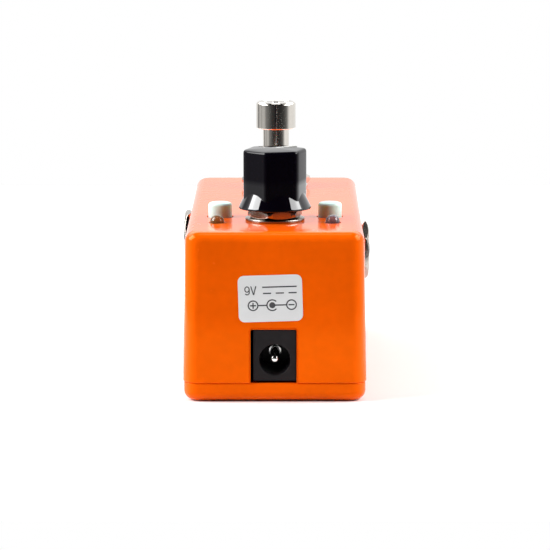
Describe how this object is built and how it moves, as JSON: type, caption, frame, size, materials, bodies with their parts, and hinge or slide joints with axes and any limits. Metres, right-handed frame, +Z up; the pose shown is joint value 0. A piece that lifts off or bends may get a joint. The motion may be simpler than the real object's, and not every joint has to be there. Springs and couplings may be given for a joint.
{
  "type": "guitar effects pedal",
  "caption": "Compact guitar effects pedal: die-cast metal box with a hexagonal knob, round push buttons and lamps, a footswitch, side jacks and an end power socket.",
  "frame": {"origin": "centre of the box's footprint, on the surface that the base rests on", "axes": "+Y along the box from the power jack to the footswitch, +X towards the output jack, +Z up"},
  "size_m": [0.0412, 0.0926, 0.0554],
  "materials": {
    "orange_powder_coat": "gloss",
    "screw_steel": "satin",
    "label_film": "satin",
    "circuit_board": "satin",
    "black_plastic": "matte",
    "gold_pins": "polished",
    "capacitor_sleeve": "gloss",
    "power_jack_plastic": "satin",
    "tinned_contacts": "satin",
    "jack_nickel": "polished",
    "pot_zinc": "satin",
    "pot_shaft_metal": "satin",
    "wiper_board": "matte",
    "knob_gloss_black": "gloss",
    "pointer_white": "satin",
    "insert_brass": "satin",
    "amber_lens": "gloss",
    "violet_lens": "gloss",
    "milky_button": "satin",
    "switch_body_blue": "satin",
    "carrier_nylon": "satin",
    "foot_nickel": "polished",
    "zinc_hardware": "satin",
    "spring_steel": "satin"
  },
  "bodies": {
    "box": {"enclosure": "orange_powder_coat", "base_plate": "orange_powder_coat", "base_screws": "screw_steel", "rating_label": "label_film", "main_board": "circuit_board", "control_board": "circuit_board", "header_block": "black_plastic", "header_pins": "gold_pins", "integrated_circuits": "black_plastic", "capacitors": "capacitor_sleeve", "dc_jack_housing": "power_jack_plastic", "dc_jack_pin": "tinned_contacts", "dc_jack_contact": "tinned_contacts", "dc_jack_terminals": "tinned_contacts", "output_jack_housing": "black_plastic", "output_jack_bushing": "jack_nickel", "output_jack_nut": "jack_nickel", "output_jack_tip_contact": "tinned_contacts", "output_jack_sleeve_contact": "tinned_contacts", "input_jack_housing": "black_plastic", "input_jack_bushing": "jack_nickel", "input_jack_nut": "jack_nickel", "input_jack_tip_contact": "tinned_contacts", "input_jack_sleeve_contact": "tinned_contacts", "pot_housing": "pot_zinc", "pot_bushing": "pot_zinc", "pot_washer": "pot_zinc", "pot_nut": "pot_zinc", "pot_terminals": "tinned_contacts", "left_led": "amber_lens", "right_led": "violet_lens", "led_leads": "tinned_contacts", "left_switch_housing": "black_plastic", "right_switch_housing": "black_plastic", "switch_terminals": "tinned_contacts", "footswitch_housing": "switch_body_blue", "footswitch_frame": "zinc_hardware", "footswitch_bushing": "foot_nickel", "footswitch_back_nut": "zinc_hardware", "footswitch_lock_washer": "zinc_hardware", "footswitch_top_washer": "foot_nickel", "footswitch_top_nut": "foot_nickel", "footswitch_terminals": "tinned_contacts", "footswitch_spring": "spring_steel"},
    "knob": {"knob_cap": "knob_gloss_black", "knob_pointer": "pointer_white", "knob_insert": "insert_brass", "knob_set_screw": "screw_steel", "pot_shaft": "pot_shaft_metal", "pot_wiper": "wiper_board"},
    "left_button": {"left_button_cap": "milky_button", "left_switch_plunger": "black_plastic"},
    "right_button": {"right_button_cap": "milky_button", "right_switch_plunger": "black_plastic"},
    "footswitch_button": {"footswitch_cap": "foot_nickel", "footswitch_stem": "foot_nickel", "footswitch_contact_carrier": "carrier_nylon"}
  },
  "joints": [
    {"name": "knob_turn", "type": "hinge", "parent": "box", "child": "knob", "pos_m": [0, -0.0268, 0.045], "axis": [0, 0, -1], "range_deg": [-16, 284]},
    {"name": "left_button_press", "type": "slide", "parent": "box", "child": "left_button", "axis": [0, 0, -1], "range_m": [0, 0.001], "stiffness_N_per_m": 500, "springref_m": -0.001},
    {"name": "right_button_press", "type": "slide", "parent": "box", "child": "right_button", "axis": [0, 0, -1], "range_m": [0, 0.001], "stiffness_N_per_m": 500, "springref_m": -0.001},
    {"name": "footswitch_press", "type": "slide", "parent": "box", "child": "footswitch_button", "axis": [0, 0, -1], "range_m": [0, 0.003], "stiffness_N_per_m": 3000, "springref_m": -0.002, "deforming": ["footswitch_spring"]}
  ]
}
